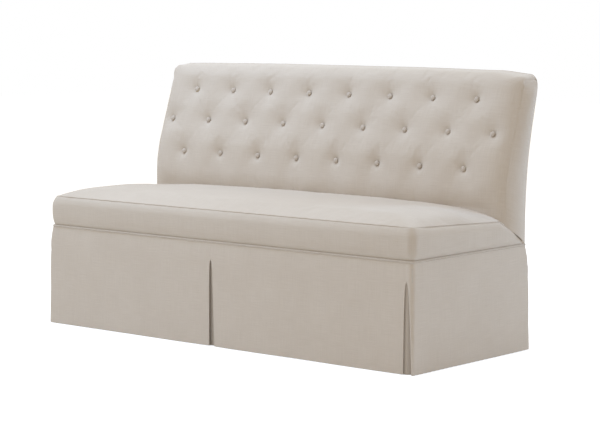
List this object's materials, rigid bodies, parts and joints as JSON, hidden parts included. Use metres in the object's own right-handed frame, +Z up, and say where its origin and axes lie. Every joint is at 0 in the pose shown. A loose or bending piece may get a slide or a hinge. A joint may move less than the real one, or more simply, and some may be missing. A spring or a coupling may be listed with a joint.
{
  "type": "upholstered banquette bench",
  "caption": "Armless upholstered bench with a tight crowned seat, a raked button-tufted back and a floor-length kick-pleat skirt over a hardwood frame.",
  "frame": {"origin": "centre of the bench's own box on the floor, at the level of the glides", "axes": "+X along the bench to the sitter's left hand, +Y to the back, +Z up"},
  "size_m": [1.7, 0.728, 0.965],
  "materials": {
    "frame_wood": "sawn hardwood, unfinished",
    "leg_wood": "hardwood, dark stain",
    "glide_plastic": "moulded nail-on glide",
    "plate_steel": "zinc plated",
    "spring_steel": "drawn spring wire",
    "seat_linen": "oatmeal linen weave",
    "boxing_linen": "oatmeal linen weave",
    "back_linen": "oatmeal linen weave over batting",
    "side_linen": "oatmeal linen weave",
    "skirt_linen": "oatmeal linen weave, lined",
    "insert_linen": "oatmeal linen weave",
    "welt_linen": "self-covered cord",
    "button_linen": "cloth-covered button",
    "foam": "upholstery foam",
    "burlap": "jute burlap",
    "webbing": "jute webbing",
    "twine": "waxed button twine",
    "card": "tacking card",
    "cambric": "black cambric"
  },
  "bodies": {
    "root": {"back_bottom_rail": "frame_wood", "back_burlap": "burlap", "back_buttons": "button_linen", "back_foam": "foam", "back_top_rail": "frame_wood", "back_tufted_cover": "back_linen", "back_webbing": "webbing", "button_ties": "twine", "centre_cross_rail": "frame_wood", "centre_pleat_insert": "insert_linen", "corner_blocks": "frame_wood", "dust_cover": "cambric", "front_centre_leg": "leg_wood", "front_left_leg": "leg_wood", "front_left_pleat_insert": "insert_linen", "front_left_skirt": "skirt_linen", "front_rail": "frame_wood", "front_right_leg": "leg_wood", "front_right_pleat_insert": "insert_linen", "front_right_skirt": "skirt_linen", "left_back_side_panel": "side_linen", "left_cross_rail": "frame_wood", "left_end_post": "frame_wood", "left_middle_post": "frame_wood", "left_side_rail": "frame_wood", "left_skirt": "skirt_linen", "leg_glides": "glide_plastic", "leg_plates": "plate_steel", "outside_back_panel": "side_linen", "rear_centre_leg": "leg_wood", "rear_left_leg": "leg_wood", "rear_left_pleat_insert": "insert_linen", "rear_rail": "frame_wood", "rear_right_leg": "leg_wood", "rear_right_pleat_insert": "insert_linen", "rear_skirt": "skirt_linen", "right_back_side_panel": "side_linen", "right_cross_rail": "frame_wood", "right_end_post": "frame_wood", "right_middle_post": "frame_wood", "right_side_rail": "frame_wood", "right_skirt": "skirt_linen", "seat_boxing": "boxing_linen", "seat_foam": "foam", "seat_springs": "spring_steel", "seat_top_panel": "seat_linen", "seat_welt": "welt_linen", "skirt_tack_strips": "card", "spring_clips": "plate_steel", "spring_cover": "burlap", "tie_toggles": "card"}
  },
  "joints": []
}
